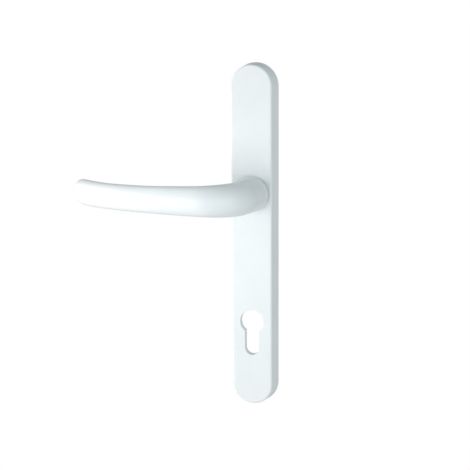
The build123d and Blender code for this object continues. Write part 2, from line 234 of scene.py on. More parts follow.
def coated_casting(name, low, high):
    """Powder coat outside and on the cut-out's wall, thin over bare casting in the plate's hollow."""
    material, tree, shader, place, white, gloss = powder_coat(name)
    at = node(tree, "ShaderNodeSeparateXYZ", {0: place}).outputs
    half_straight = (high.z - low.z - high.x + low.x) / 2
    along = calc(tree, "ABSOLUTE", calc(tree, "SUBTRACT", at["Z"], (low.z + high.z) / 2))
    beyond = calc(tree, "MAXIMUM", calc(tree, "SUBTRACT", along, half_straight))
    squares = [calc(tree, "MULTIPLY", side, side) for side in (at["X"], beyond)]
    from_middle = calc(tree, "SQRT", calc(tree, "ADD", *squares))
    up = calc(tree, "SUBTRACT", at["Z"], CUTOUT_Z)
    squares = [calc(tree, "MULTIPLY", side, side) for side in (at["X"], up)]
    from_round = calc(tree, "SQRT", calc(tree, "ADD", *squares))
    past_round = calc(tree, "GREATER_THAN", from_round, CUTOUT_RADIUS + COATED_RIM)
    beside_stem = calc(tree, "GREATER_THAN", calc(tree, "ABSOLUTE", at["X"]), CUTOUT_STEM + COATED_RIM)
    below_foot = calc(tree, "LESS_THAN", at["Z"], CUTOUT_FOOT_Z - COATED_RIM)
    above_stem = calc(tree, "GREATER_THAN", at["Z"], CUTOUT_Z)
    past_stem = calc(tree, "MAXIMUM", beside_stem, calc(tree, "MAXIMUM", below_foot, above_stem))
    past_cutout = calc(tree, "MULTIPLY", past_round, past_stem)
    inside = spread(tree, from_middle, HOLLOW_RADIUS - HOLLOW_FADE, HOLLOW_RADIUS, 1.0, 0.0)
    behind = calc(tree, "GREATER_THAN", at["Y"], -HOLLOW_FLOOR)
    speckle = spread(tree, noise(tree, place, SPECKLE_SIZE), 0.32, 0.62)
    cloud = spread(tree, noise(tree, place, CLOUD_SIZE, 2.0), 0.3, 0.7, 0.35, 1.0)
    hollow = calc(tree, "MULTIPLY", calc(tree, "MULTIPLY", inside, behind), past_cutout)
    bare = calc(tree, "MULTIPLY", hollow, calc(tree, "MULTIPLY", speckle, cloud))
    tree.links.new(mixed(tree, bare, white, CAST_ZINC), shader.inputs["Base Color"])
    tree.links.new(calc(tree, "MULTIPLY", bare, CAST_METALLIC), shader.inputs["Metallic"])
    rougher = calc(tree, "MULTIPLY", bare, CAST_ROUGHER)
    tree.links.new(calc(tree, "ADD", gloss, rougher), shader.inputs["Roughness"])
    return material


plate_low, plate_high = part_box("backplate")
coated_zinc = coated_casting("white_coat_over_zinc", plate_low, plate_high)
finished_copy("backplate", coated_zinc, "white_coat", "plate", edge=0.3 * MM)


# ---- Lever ------------------------------------------------------------------------------------------
# One zinc casting: a round neck that runs in the bush, a slightly wider foot, and an oval grip whose
# centreline leaves the plate straight, turns through a tight bend and returns in a long arc.
HUB_RADIUS = 11.5 * MM
FOOT_RADIUS = 12.4 * MM
FOOT_FRONT = 13.15 * MM
FOOT_EDGE = 0.6 * MM
FOOT_SOFT = 0.25 * MM
FLARE = 4.0 * MM
NECK_RADIUS = 7.0 * MM
NECK_FLAT = 5.9 * MM
NECK_END = 0.9 * MM
GROOVE_RADIUS = 6.6 * MM
GROOVE = (1.75 * MM, 2.75 * MM)
FLATS_END = 4.85 * MM
SOCKET_HALF = 4.05 * MM
SOCKET_END = 27.0 * MM
SOCKET_CORNER = 0.5 * MM
MOUTH_CORNER = 0.6 * MM
MOUTH_DEPTH = 0.5 * MM
CHAMFER = 0.4 * MM
STRAIGHT_END = 32.3 * MM
BEND_RADIUS = 25.0 * MM
GRIP_RADIUS = 163.0 * MM
GRIP_CENTRE_X = -32.0 * MM
TIP_X = -125.97 * MM
TIP_ROUND_OVER = 9.4 * MM
TIP_ROUND_UNDER = 14.0 * MM
AROUND = 96
ALONG = 170
# Reach of the oval above and below the centreline and its half-thickness, in millimetres, at shares of
# the length from hub to tip
REACH_OVER = (
    (0, 11.5), (0.08, 11.5), (0.155, 11.2), (0.234, 10.7), (0.333, 10.0), (0.431, 9.55),
    (0.536, 9.15), (0.659, 9.0), (0.782, 9.1), (0.89, 9.6), (1, 10.2),
)
REACH_UNDER = (
    (0, 11.5), (0.08, 11.5), (0.155, 11.2), (0.234, 10.7), (0.333, 10.0), (0.431, 9.55),
    (0.536, 9.15), (0.659, 9.0), (0.782, 8.95), (0.89, 8.8), (1, 8.4),
)
HALF_THICKS = (
    (0, 11.5), (0.08, 11.5), (0.155, 10.8), (0.234, 9.3), (0.333, 7.7), (0.431, 6.7),
    (0.536, 6.2), (0.659, 6.1), (0.782, 6.1), (0.89, 6.1), (1, 6.1),
)
TIP_SQUARENESS = 2.2
NOSE_SQUARENESS = 2.0
CURVE_SCALE = 12 * MM
SHAFT_RINGS = 0.72
STRAIGHT_STEPS = 24
BEND_STEPS = 96
GRIP_STEPS = 240
EDGE_STEPS = 4
FLARE_STEPS = 10


def grown(name, tree, **values):
    """Runs a Geometry Nodes tree on an empty mesh object and keeps the result as its plain mesh."""
    host = bpy.data.objects.new(name, bpy.data.meshes.new(name))
    bpy.context.scene.collection.objects.link(host)
    modifier = host.modifiers.new("nodes", "NODES")
    modifier.node_group = tree
    for item in tree.interface.items_tree:
        if item.in_out == "INPUT" and item.name in values:
            modifier[item.identifier] = values[item.name]
    depsgraph = bpy.context.evaluated_depsgraph_get()
    host.data = bpy.data.meshes.new_from_object(host.evaluated_get(depsgraph), depsgraph=depsgraph)
    host.modifiers.clear()
    return host


def nodes_tree(name, *inputs):
    """A Geometry Nodes tree with named inputs, and its group input and output nodes."""
    tree = bpy.data.node_groups.new(name, "GeometryNodeTree")
    tree.interface.new_socket("Geometry", in_out="INPUT", socket_type="NodeSocketGeometry")
    for label, kind in inputs:
        tree.interface.new_socket(label, in_out="INPUT", socket_type="NodeSocket" + kind)
    tree.interface.new_socket("Geometry", in_out="OUTPUT", socket_type="NodeSocketGeometry")
    return tree, tree.nodes.new("NodeGroupInput").outputs, tree.nodes.new("NodeGroupOutput")


def vector(tree, operation, first, second=(0, 0, 0), scale=1.0):
    """A Vector Math node's result."""
    made = node(tree, "ShaderNodeVectorMath", {0: first, 1: second}, operation=operation)
    if isinstance(scale, bpy.types.NodeSocket):
        tree.links.new(scale, made.inputs["Scale"])
    return made.outputs[0]


def taper_curve(tree, share, points):
    """A size that follows a smooth curve through (share of length, millimetres) points."""
    made = node(tree, "ShaderNodeFloatCurve", {"Value": share})
    curve = made.mapping.curves[0]
    while len(curve.points) < len(points):
        curve.points.new(0.5, 0.5)
    for point, (where, size) in zip(curve.points, points):
        point.location = (where, size * MM / CURVE_SCALE)
    made.mapping.update()
    return calc(tree, "MULTIPLY", made.outputs[0], CURVE_SCALE)


def finish_tree(tree, output, geometry, material):
    """Ends a tree in Realize Instances and Set Material."""
    real = node(tree, "GeometryNodeRealizeInstances", {"Geometry": geometry}).outputs[0]
    painted = node(tree, "GeometryNodeSetMaterial", {"Geometry": real, "Material": material})
    tree.links.new(painted.outputs[0], output.inputs[0])


def rounded_off(tree, to_tip, reach, squareness):
    """Share of full size left at a distance before the tip, falling to nothing over the reach."""
    into = calc(tree, "POWER", spread(tree, to_tip, 0.0, reach, 1.0, 0.0), squareness)
    return calc(tree, "POWER", calc(tree, "SUBTRACT", 1.0, into), 1 / squareness)


def lever_tree():
    """An oval skin swept along a centreline curve, sized by the three reach curves and rounded at the tip."""
    tree, given, output = nodes_tree(
        "lever_skin", ("Centreline", "Object"), ("Length", "Float"), ("Over", "Float"), ("Under", "Float"),
        ("Nose", "Float"), ("Rings", "Int"), ("Around", "Int"), ("Material", "Material"),
    )
    grid = node(tree, "GeometryNodeMeshGrid", {
        "Size X": 1.0, "Size Y": 1.0, "Vertices X": given["Rings"], "Vertices Y": given["Around"],
    }).outputs["Mesh"]
    corner = node(tree, "ShaderNodeSeparateXYZ", {0: node(tree, "GeometryNodeInputPosition").outputs[0]})
    share = calc(tree, "ADD", corner.outputs["X"], 0.5)
    turn = calc(tree, "MULTIPLY", calc(tree, "ADD", corner.outputs["Y"], 0.5), 2 * math.pi)
    before_tip = calc(tree, "SUBTRACT", given["Length"], given["Under"])
    straight = calc(tree, "MULTIPLY", spread(tree, share, 0.0, SHAFT_RINGS), before_tip)
    tip_turn = spread(tree, share, SHAFT_RINGS, 1.0, 0.0, math.pi / 2)
    in_tip = calc(tree, "MULTIPLY", calc(tree, "SINE", tip_turn), given["Under"])
    distance = calc(tree, "ADD", straight, in_tip)
    to_tip = calc(tree, "SUBTRACT", given["Length"], distance)
    curve = node(tree, "GeometryNodeObjectInfo", {"Object": given["Centreline"]}).outputs["Geometry"]
    sample = node(
        tree, "GeometryNodeSampleCurve", {"Curves": curve, "Length": distance},
        mode="LENGTH", use_all_curves=True,
    )
    across = vector(tree, "NORMALIZE", vector(tree, "CROSS_PRODUCT", sample.outputs["Tangent"], (0, 0, 1)))
    part = calc(tree, "DIVIDE", distance, given["Length"])
    over = calc(tree, "MULTIPLY", taper_curve(tree, part, REACH_OVER),
                rounded_off(tree, to_tip, given["Over"], TIP_SQUARENESS))
    under = calc(tree, "MULTIPLY", taper_curve(tree, part, REACH_UNDER),
                 rounded_off(tree, to_tip, given["Under"], TIP_SQUARENESS))
    rise = calc(tree, "MULTIPLY", calc(tree, "SUBTRACT", over, under), 0.5)
    half_height = calc(tree, "MULTIPLY", calc(tree, "ADD", over, under), 0.5)
    high = calc(tree, "ADD", rise, calc(tree, "MULTIPLY", half_height, calc(tree, "SINE", turn)))
    half_thick = calc(tree, "MULTIPLY", taper_curve(tree, part, HALF_THICKS),
                      rounded_off(tree, to_tip, given["Nose"], NOSE_SQUARENESS))
    thick = calc(tree, "MULTIPLY", half_thick, calc(tree, "COSINE", turn))
    sideways = vector(tree, "SCALE", across, scale=thick)
    upwards = node(tree, "ShaderNodeCombineXYZ", {"Z": high}).outputs[0]
    where = vector(tree, "ADD", vector(tree, "ADD", sample.outputs["Position"], sideways), upwards)
    skin = node(tree, "GeometryNodeSetPosition", {"Geometry": grid, "Position": where}).outputs[0]
    closed = node(tree, "GeometryNodeMergeByDistance", {"Geometry": skin, "Distance": 0.002 * MM})
    finish_tree(tree, output, closed.outputs[0], given["Material"])
    return tree


def poly_path(name, points):
    """A poly curve object through the points."""
    data = bpy.data.curves.new(name, "CURVE")
    data.dimensions = "3D"
    spline = data.splines.new("POLY")
    spline.points.add(len(points) - 1)
    for point, place in zip(spline.points, points):
        point.co = (*place, 1)
    line = bpy.data.objects.new(name, data)
    bpy.context.scene.collection.objects.link(line)
    return line


def lever_centreline():
    """The centreline from the hub to the tip as a poly curve object, with its length."""
    start = FOOT_FRONT + FOOT_EDGE + FLARE
    depth = math.sqrt((GRIP_RADIUS - BEND_RADIUS) ** 2 - (BEND_RADIUS + GRIP_CENTRE_X) ** 2)
    grip_centre = STRAIGHT_END - depth
    turn = math.asin((-BEND_RADIUS - GRIP_CENTRE_X) / (GRIP_RADIUS - BEND_RADIUS))
    last = math.asin((TIP_X - GRIP_CENTRE_X) / GRIP_RADIUS)
    points = [(0, start + (STRAIGHT_END - start) * i / STRAIGHT_STEPS) for i in range(STRAIGHT_STEPS)]
    for i in range(BEND_STEPS):
        angle = (math.pi / 2 - turn) * i / BEND_STEPS
        points.append((BEND_RADIUS * (math.cos(angle) - 1), STRAIGHT_END + BEND_RADIUS * math.sin(angle)))
    for i in range(GRIP_STEPS + 1):
        angle = turn + (last - turn) * i / GRIP_STEPS
        points.append((GRIP_CENTRE_X + GRIP_RADIUS * math.sin(angle),
                       grip_centre + GRIP_RADIUS * math.cos(angle)))
    line = poly_path("lever_centreline", [(x, -depth, 0) for x, depth in points])
    steps = [math.dist(a, b) for a, b in zip(points, points[1:])]
    return line, sum(steps)


def ring(depth, reach):
    """Points round the spindle axis at a depth in front of the door; reach gives the radius by angle."""
    turns = [2 * math.pi * i / (AROUND - 1) for i in range(AROUND - 1)]
    return [(-reach(t) * math.cos(t), -depth, reach(t) * math.sin(t)) for t in turns]


def skin(mesh, rings, close_first=False, close_last=False):
    """Adds quads between successive rings to a bmesh, and a flat end where asked."""
    rows = [[mesh.verts.new(point) for point in points] for points in rings]
    for first, second in zip(rows, rows[1:]):
        for i in range(len(first)):
            j = (i + 1) % len(first)
            mesh.faces.new((first[i], first[j], second[j], second[i]))
    if close_first:
        mesh.faces.new(rows[0])
    if close_last:
        mesh.faces.new(rows[-1])


def round_reach(radius):
    """Reach of a circle."""
    return lambda t: radius


def flatted_reach(radius):
    """Reach of a circle with the neck's two flats."""
    return lambda t: min(radius, NECK_FLAT / max(abs(math.cos(t)), 1e-6))


def square_reach(half, corner):
    """Reach of a square with rounded corners."""
    def reach(t):
        c, s = abs(math.cos(t)), abs(math.sin(t))
        flat = half / max(c, s)
        inner = half - corner
        if flat * min(c, s) <= inner:
            return flat
        along = inner * (c + s)
        return along + math.sqrt(max(along**2 - 2 * inner**2 + corner**2, 0))
    return reach


def make_lever():
    """The swept skin, closed by the flare, foot, neck and spindle socket as rings about the spindle axis."""
    line, length = lever_centreline()
    lever = grown(
        "lever_piece", lever_tree(), Centreline=line, Length=length, Over=TIP_ROUND_OVER,
        Under=TIP_ROUND_UNDER, Nose=HALF_THICKS[-1][1] * MM, Rings=ALONG, Around=AROUND, Material=white_coat,
    )
    bpy.data.objects.remove(line)
    rings = [ring(SOCKET_END, square_reach(SOCKET_HALF, SOCKET_CORNER))]
    rings.append(ring(NECK_END + MOUTH_DEPTH, square_reach(SOCKET_HALF, SOCKET_CORNER)))
    rings.append(ring(NECK_END, square_reach(SOCKET_HALF + CHAMFER, MOUTH_CORNER)))
    rings.append(ring(NECK_END, flatted_reach(NECK_RADIUS - CHAMFER)))
    rings.append(ring(NECK_END + CHAMFER, flatted_reach(NECK_RADIUS)))
    rings.append(ring(GROOVE[0], flatted_reach(NECK_RADIUS)))
    rings.append(ring(GROOVE[0], flatted_reach(GROOVE_RADIUS)))
    rings.append(ring(GROOVE[1], flatted_reach(GROOVE_RADIUS)))
    rings.append(ring(GROOVE[1], flatted_reach(NECK_RADIUS)))
    rings.append(ring(FLATS_END, flatted_reach(NECK_RADIUS)))
    rings.append(ring(FLATS_END, round_reach(NECK_RADIUS)))
    rings.append(ring(FOOT_FRONT, round_reach(NECK_RADIUS)))
    for i in range(EDGE_STEPS + 1):
        angle = math.pi / 2 * i / EDGE_STEPS
        rings.append(ring(FOOT_FRONT + FOOT_SOFT * (1 - math.cos(angle)),
                          round_reach(FOOT_RADIUS - FOOT_SOFT * (1 - math.sin(angle)))))
    foot_top = FOOT_FRONT + FOOT_EDGE
    for i in range(EDGE_STEPS + 1):
        angle = math.pi / 2 * i / EDGE_STEPS
        rings.append(ring(foot_top - FOOT_SOFT * (1 - math.sin(angle)),
                          round_reach(FOOT_RADIUS - FOOT_SOFT * (1 - math.cos(angle)))))
    step = FOOT_RADIUS - FOOT_SOFT - HUB_RADIUS
    curve_radius = (FLARE**2 + step**2) / (2 * step)
    for i in range(1, FLARE_STEPS + 1):
        left = FLARE * (1 - i / FLARE_STEPS)
        rings.append(ring(foot_top + FLARE - left,
                          round_reach(HUB_RADIUS + curve_radius - math.sqrt(curve_radius**2 - left**2))))
    mesh = bmesh.new()
    mesh.from_mesh(lever.data)
    skin(mesh, rings, close_first=True)
    bmesh.ops.remove_doubles(mesh, verts=mesh.verts, dist=0.004 * MM)
    bmesh.ops.recalc_face_normals(mesh, faces=mesh.faces)
    mesh.to_mesh(lever.data)
    mesh.free()
    lever.data.shade_smooth()
    lever.data.set_sharp_from_angle(angle=math.radians(40))
    dressed(lever, white_coat, "white_coat", "lever", "lever")


make_lever()


# ---- Seal round the hub -----------------------------------------------------------------------------
# A moulded black EPDM ring in a shallow recess of the face. Its rounded lip stands just short of the lever's
# foot, so all that shows of it is a thin dark line. That line is the gap's own shade, made darker by the
# ring's black as painted shade.
# Near-black, so the seal's wall paints extra shade into the gap at the lever's foot
SEAL_BLACK_AS_GAP_SHADE = (0.022, 0.022, 0.024)
SEAL_PORE = 0.25 * MM
SEAL_PORE_DEPTH = 0.01 * MM


def rubber(name, tone, pore, depth):
    """Black rubber or closed-cell foam: pores of that size and depth, and a slightly dusty bloom."""
    material, tree, shader, place = surface(name, 0.75)
    cells = node(tree, "ShaderNodeTexVoronoi", {"Vector": place, "Scale": 1 / pore}).outputs["Distance"]
    bloom = spread(tree, noise(tree, place, 5 * MM), 0.45, 0.75)
    dusty = tuple(min(1.0, 2.2 * part + 0.02) for part in tone)
    tree.links.new(mixed(tree, bloom, tone, dusty), shader.inputs["Base Color"])
    bump(tree, shader, cells, depth)
    return material


# Painted shade: the seal's near-black deepens the dark line in the gap between the lever's foot and the plate
seal_rubber = rubber("seal_rubber", SEAL_BLACK_AS_GAP_SHADE, SEAL_PORE, SEAL_PORE_DEPTH)
finished_copy("hub_seal", seal_rubber, "seal_rubber", "plate", edge=0.35 * MM, segments=3)


# ---- Neck bush and thrust washer --------------------------------------------------------------------
# Natural acetal, injection moulded: a flanged bush that the neck turns in, and a flat washer behind the
# boss. Acetal is slightly waxy and lets a little light in.
ACETAL_SHADE = (0.78, 0.77, 0.71)
ACETAL_CREAM = (0.84, 0.83, 0.78)


def acetal(name):
    """Natural acetal: a cream tone that hardly varies, a little light let in and a fine moulded grain."""
    material, tree, shader, place = surface(
        name, 0.42, Subsurface_Weight=0.15, Subsurface_Scale=1.2 * MM, Specular_IOR_Level=0.45
    )
    tone = spread(tree, noise(tree, place, 3 * MM), 0.3, 0.7)
    tree.links.new(mixed(tree, tone, ACETAL_SHADE, ACETAL_CREAM), shader.inputs["Base Color"])
    bump(tree, shader, noise(tree, place, 0.3 * MM), 0.003 * MM)
    return material


natural_acetal = acetal("natural_acetal")
finished_copy("neck_bush", natural_acetal, "acetal", "plate", edge=0.2 * MM)
finished_copy("thrust_washer", natural_acetal, "acetal", "plate", edge=0.08 * MM)


# ---- Perimeter gasket -------------------------------------------------------------------------------
# One strip of closed-cell foam pressed into the groove of the rear rim. It bulges a little out of the
# groove and is squeezed flat when the plate is screwed down.
GASKET_WIDTH = 1.7 * MM
GASKET_DEEP = 1.2 * MM
GASKET_BULGE = 0.25 * MM
GASKET_ROUND = 0.45 * MM
FOAM_BLACK = (0.03, 0.03, 0.033)
FOAM_PORE = 0.35 * MM
FOAM_PORE_DEPTH = 0.05 * MM
PLATE_EDGE = 0.9 * MM


def gasket_tree():
    """A rounded strip swept round a rectangle whose corners are rounded until its ends are half circles."""
    tree, given, output = nodes_tree(
        "gasket_strip", ("Long", "Float"), ("Across", "Float"), ("Middle", "Vector"),
        ("Strip Width", "Float"), ("Strip Height", "Float"), ("Material", "Material"),
    )
    frame_line = node(tree, "GeometryNodeCurvePrimitiveQuadrilateral",
                      {"Width": given["Across"], "Height": given["Long"]}, mode="RECTANGLE").outputs[0]
    path = node(tree, "GeometryNodeFilletCurve", {
        "Curve": frame_line, "Radius": calc(tree, "MULTIPLY", given["Across"], 0.4999), "Count": 40,
    }, mode="POLY").outputs[0]
    stood = node(tree, "GeometryNodeTransform", {
        "Geometry": path, "Translation": given["Middle"], "Rotation": (math.pi / 2, 0, 0),
    }).outputs[0]
    box = node(tree, "GeometryNodeCurvePrimitiveQuadrilateral",
               {"Width": given["Strip Width"], "Height": given["Strip Height"]}, mode="RECTANGLE").outputs[0]
    section = node(tree, "GeometryNodeFilletCurve", {
        "Curve": box, "Radius": GASKET_ROUND, "Count": 4,
    }, mode="POLY").outputs[0]
    strip = node(tree, "GeometryNodeCurveToMesh", {"Curve": stood, "Profile Curve": section}).outputs[0]
    finish_tree(tree, output, strip, given["Material"])
    return tree


gasket_foam = rubber("gasket_foam", FOAM_BLACK, FOAM_PORE, FOAM_PORE_DEPTH)
groove_inset = 2 * PLATE_EDGE + GASKET_WIDTH
gasket_middle = (0, (GASKET_BULGE - GASKET_DEEP) / 2, (plate_low.z + plate_high.z) / 2)
gasket = grown(
    "perimeter_gasket_piece", gasket_tree(), Long=plate_high.z - plate_low.z - groove_inset,
    Across=plate_high.x - plate_low.x - groove_inset, Middle=gasket_middle, Material=gasket_foam,
    **{"Strip Width": GASKET_WIDTH, "Strip Height": GASKET_DEEP + GASKET_BULGE},
)
gasket.data.shade_smooth()
dressed(gasket, gasket_foam, "gasket_foam", "plate", "perimeter_gasket")


# ---- Fixing posts -----------------------------------------------------------------------------------
# Two turned steel posts pressed into the casting's bosses and tapped M5 for the screws that come through
# the door. Zinc plated, with a clear bluish passivate.
ZINC_PLATE = (0.62, 0.63, 0.64)
THREAD_RADIUS = 2.1 * MM
THREAD_PITCH = 0.8 * MM
THREAD_CREST = 0.28 * MM
THREAD_LENGTH = 12.8 * MM
THREAD_MOUTH = 0.6 * MM


def plated_steel(name, tone, rough):
    """Zinc plate: a fine crystalline grey with a faint blue and yellow passivate bloom."""
    material, tree, shader, place = surface(name, rough, 1.0)
    bloom = spread(tree, noise(tree, place, 4 * MM), 0.3, 0.7)
    cool = tuple(part * factor for part, factor in zip(tone, (0.94, 0.98, 1.06)))
    warm = tuple(part * factor for part, factor in zip(tone, (1.04, 1.01, 0.93)))
    tree.links.new(mixed(tree, bloom, cool, warm), shader.inputs["Base Color"])
    grain = noise(tree, place, 0.35 * MM, 5.0)
    tree.links.new(spread(tree, grain, 0.3, 0.7, rough - 0.07, rough + 0.1), shader.inputs["Roughness"])
    bump(tree, shader, grain, 0.004 * MM)
    return material


def thread_tree():
    """The crests of an internal thread: a three-sided ridge swept along a helix."""
    tree, given, output = nodes_tree(
        "thread_crests", ("Radius", "Float"), ("Pitch", "Float"), ("Length", "Float"), ("Crest", "Float"),
        ("Mouth", "Vector"), ("Material", "Material"),
    )
    turns = calc(tree, "DIVIDE", given["Length"], given["Pitch"])
    helix = node(tree, "GeometryNodeCurveSpiral", {
        "Resolution": 32, "Rotations": turns, "Start Radius": given["Radius"], "End Radius": given["Radius"],
        "Height": given["Length"],
    }).outputs[0]
    turned = node(tree, "GeometryNodeTransform", {
        "Geometry": helix, "Translation": given["Mouth"], "Rotation": (math.pi / 2, 0, 0),
    }).outputs[0]
    ridge = node(tree, "GeometryNodeCurvePrimitiveCircle", {
        "Resolution": 6, "Radius": given["Crest"],
    }).outputs[0]
    crests = node(tree, "GeometryNodeCurveToMesh", {
        "Curve": turned, "Profile Curve": ridge, "Fill Caps": True,
    }).outputs[0]
    finish_tree(tree, output, crests, given["Material"])
    return tree


zinc_plate = plated_steel("zinc_plate", ZINC_PLATE, 0.34)
thread_nodes = thread_tree()
for post_name in ("fixing_post_upper", "fixing_post_lower"):
    low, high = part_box(post_name)
    finished_copy(post_name, zinc_plate, "zinc_plated_steel", "plate", edge=0.15 * MM)
    thread = grown(
        post_name + "_thread", thread_nodes, Radius=THREAD_RADIUS, Pitch=THREAD_PITCH, Length=THREAD_LENGTH,
        Crest=THREAD_CREST, Mouth=((low.x + high.x) / 2, high.y - THREAD_MOUTH, (low.z + high.z) / 2),
        Material=zinc_plate,
    )
    thread.data.shade_smooth()
    dressed(thread, zinc_plate, "zinc_plated_steel", "plate")


# ---- Return spring ----------------------------------------------------------------------------------
# Oil-tempered spring wire, two turns round the boss. The casting's fork holds the front leg and the drive
# plate's prongs hold the rear one, so the coil winds up or opens as the lever turns and brings it back.
WIRE_RADIUS = 0.7 * MM
COIL_RADIUS = 10.4 * MM
COIL_DEPTHS = (8.8 * MM, 5.9 * MM)
COIL_TURNS = 2
LEG_TOP = 15.4 * MM
LEG_BEND = 1.5 * MM
LEG_BEND_STEPS = 8
COIL_TURN_STEPS = 64
WIRE_SIDES = 20
WIRE_OXIDE = (0.13, 0.14, 0.16)
WIRE_BROWN = (0.21, 0.16, 0.12)


def wire_tree():
    """A round wire with closed ends along a path object."""
    tree, given, output = nodes_tree(
        "spring_wire", ("Path", "Object"), ("Wire Radius", "Float"), ("Sides", "Int"),
        ("Material", "Material"),
    )
    path = node(tree, "GeometryNodeObjectInfo", {"Object": given["Path"]}).outputs["Geometry"]
    section = node(tree, "GeometryNodeCurvePrimitiveCircle", {
        "Resolution": given["Sides"], "Radius": given["Wire Radius"],
    }).outputs[0]
    wire = node(tree, "GeometryNodeCurveToMesh", {
        "Curve": path, "Profile Curve": section, "Fill Caps": True,
    }).outputs[0]
    finish_tree(tree, output, wire, given["Material"])
    return tree


def spring_path():
    """Down the front leg, through its bend, round the coil from front to rear and up the rear leg."""
    front, rear = COIL_DEPTHS
    angle_of_bend = LEG_BEND / COIL_RADIUS
    coil = []
    steps = COIL_TURN_STEPS * COIL_TURNS
    first, last = angle_of_bend, 2 * math.pi * COIL_TURNS - angle_of_bend
    for i in range(steps + 1):
        angle = first + (last - first) * i / steps
        depth = front + (rear - front) * angle / (2 * math.pi * COIL_TURNS)
        coil.append((COIL_RADIUS * math.sin(angle), -depth, COIL_RADIUS * math.cos(angle)))

    def bend(leg_depth, coil_end):
        """The smooth bend from the root of a leg to the end of the coil."""
        root = Vector((0, -leg_depth, COIL_RADIUS + LEG_BEND))
        heel = Vector((0, -leg_depth, COIL_RADIUS))
        end = Vector(coil_end)
        shares = [i / LEG_BEND_STEPS for i in range(LEG_BEND_STEPS)]
        return [tuple((1 - t) ** 2 * root + 2 * t * (1 - t) * heel + t * t * end) for t in shares]

    start = [(0, -front, LEG_TOP), *bend(front, coil[0])]
    finish = [(0, -rear, LEG_TOP), *bend(rear, coil[-1])]
    return start + coil + finish[::-1]


def spring_steel(name):
    """Oil-tempered wire: dark blue-grey oxide with brown patches and fine drawing lines."""
    material, tree, shader, place = surface(name, 0.38, 0.85)
    patch = spread(tree, noise(tree, place, 2.5 * MM), 0.4, 0.7)
    tree.links.new(mixed(tree, patch, WIRE_OXIDE, WIRE_BROWN), shader.inputs["Base Color"])
    bump(tree, shader, noise(tree, place, 0.15 * MM), 0.004 * MM)
    return material


dark_spring_steel = spring_steel("dark_spring_steel")
guide = poly_path("spring_path", spring_path())
spring = grown(
    "return_spring_piece", wire_tree(), Path=guide, Sides=WIRE_SIDES, Material=dark_spring_steel,
    **{"Wire Radius": WIRE_RADIUS},
)
bpy.data.objects.remove(guide)
spring.data.shade_smooth()
spring.data.set_sharp_from_angle(angle=math.radians(50))
plain_mesh(spring, dark_spring_steel)
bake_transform(spring)
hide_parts("return_spring")


# ---- Drive plate ------------------------------------------------------------------------------------
# Blanked 1.5 mm steel, keyed on the flats of the neck, with two prongs bent forward over the spring's
# rear leg and an arm that meets the cast stops at the end of the travel.
YELLOWED_ZINC = (0.58, 0.56, 0.50)
drive_steel = plated_steel("drive_plate_zinc", YELLOWED_ZINC, 0.4)
finished_copy("drive_plate", drive_steel, "zinc_plated_steel", "lever", edge=0.15 * MM)


# ---- Spring washer and circlip ----------------------------------------------------------------------
# A dished washer takes up the end play, and a phosphated circlip in the neck's groove holds the lever in
# the plate. Both are blanked and hardened.
PHOSPHATE_BLACK = (0.045, 0.045, 0.05)
PHOSPHATE_GREY = (0.09, 0.09, 0.095)
CRYSTAL_SIZE = 0.12 * MM


def phosphate(name):
    """Oiled phosphate: a fine matt black crystal coat."""
    material, tree, shader, place = surface(name, 0.55, 0.4)
    crystal = noise(tree, place, CRYSTAL_SIZE, 4.0)
    tone = mixed(tree, crystal, PHOSPHATE_BLACK, PHOSPHATE_GREY)
    tree.links.new(tone, shader.inputs["Base Color"])
    bump(tree, shader, crystal, 0.006 * MM)
    return material


finished_copy("spring_washer", dark_spring_steel, "spring_steel", "lever")
finished_copy("circlip", phosphate("phosphated_steel"), "phosphated_steel", "lever", edge=0.12 * MM)


# ---- Spring cover -----------------------------------------------------------------------------------
# Pressed 0.8 mm steel with rounded corners and edges, zinc plated, open round the neck and screwed to two
# cast pillars. It keeps the spring in its chamber.
BRIGHT_ZINC = (0.66, 0.67, 0.68)
cover_steel = plated_steel("cover_zinc", BRIGHT_ZINC, 0.3)
finished_copy("spring_cover", cover_steel, "zinc_plated_steel", "plate", edge=0.15 * MM)


# ---- Cover screws -----------------------------------------------------------------------------------
# Two M3 pan-head screws with a six-lobe drive, cold headed and zinc plated.
HEAD_RADIUS = 2.75 * MM
HEAD_HEIGHT = 1.5 * MM
SHANK_RADIUS = 1.5 * MM
LOBE_RADIUS = 1.15 * MM
LOBE_DEPTH = 0.9 * MM
LOBE_WAVE = 0.13
LOBE_TAPER = 0.9
LOBE_LEAD = 0.06 * MM
LOBE_LEAD_DEPTH = 0.08 * MM
HEAD_ROUND = 0.9 * MM
HEAD_ROUND_DEPTH = 0.8 * MM
HEAD_STEPS = 8


def lobe_reach(radius):
    """Reach of a six-lobed recess."""
    return lambda t: radius * (1 + LOBE_WAVE * math.cos(6 * t))


def screw_mesh(under_head, shank_end):
    """One screw about the spindle axis, from the bottom of its recess over the head to the shank's end."""
    top = under_head - HEAD_HEIGHT
    rings = [ring(top + LOBE_DEPTH, lobe_reach(LOBE_RADIUS * LOBE_TAPER))]
    rings.append(ring(top + LOBE_LEAD_DEPTH, lobe_reach(LOBE_RADIUS)))
    rings.append(ring(top, lobe_reach(LOBE_RADIUS + LOBE_LEAD)))
    for i in range(HEAD_STEPS + 1):
        angle = math.pi / 2 * i / HEAD_STEPS
        rings.append(ring(top + HEAD_ROUND_DEPTH * (1 - math.cos(angle)),
                          round_reach(HEAD_RADIUS - HEAD_ROUND * (1 - math.sin(angle)))))
    rings.append(ring(under_head, round_reach(HEAD_RADIUS)))
    rings.append(ring(under_head, round_reach(SHANK_RADIUS)))
    rings.append(ring(shank_end, round_reach(SHANK_RADIUS)))
    mesh = bmesh.new()
    skin(mesh, rings, close_first=True, close_last=True)
    bmesh.ops.recalc_face_normals(mesh, faces=mesh.faces)
    data = bpy.data.meshes.new("screw")
    mesh.to_mesh(data)
    mesh.free()
    data.shade_smooth()
    data.set_sharp_from_angle(angle=SHARP_FROM)
    return data


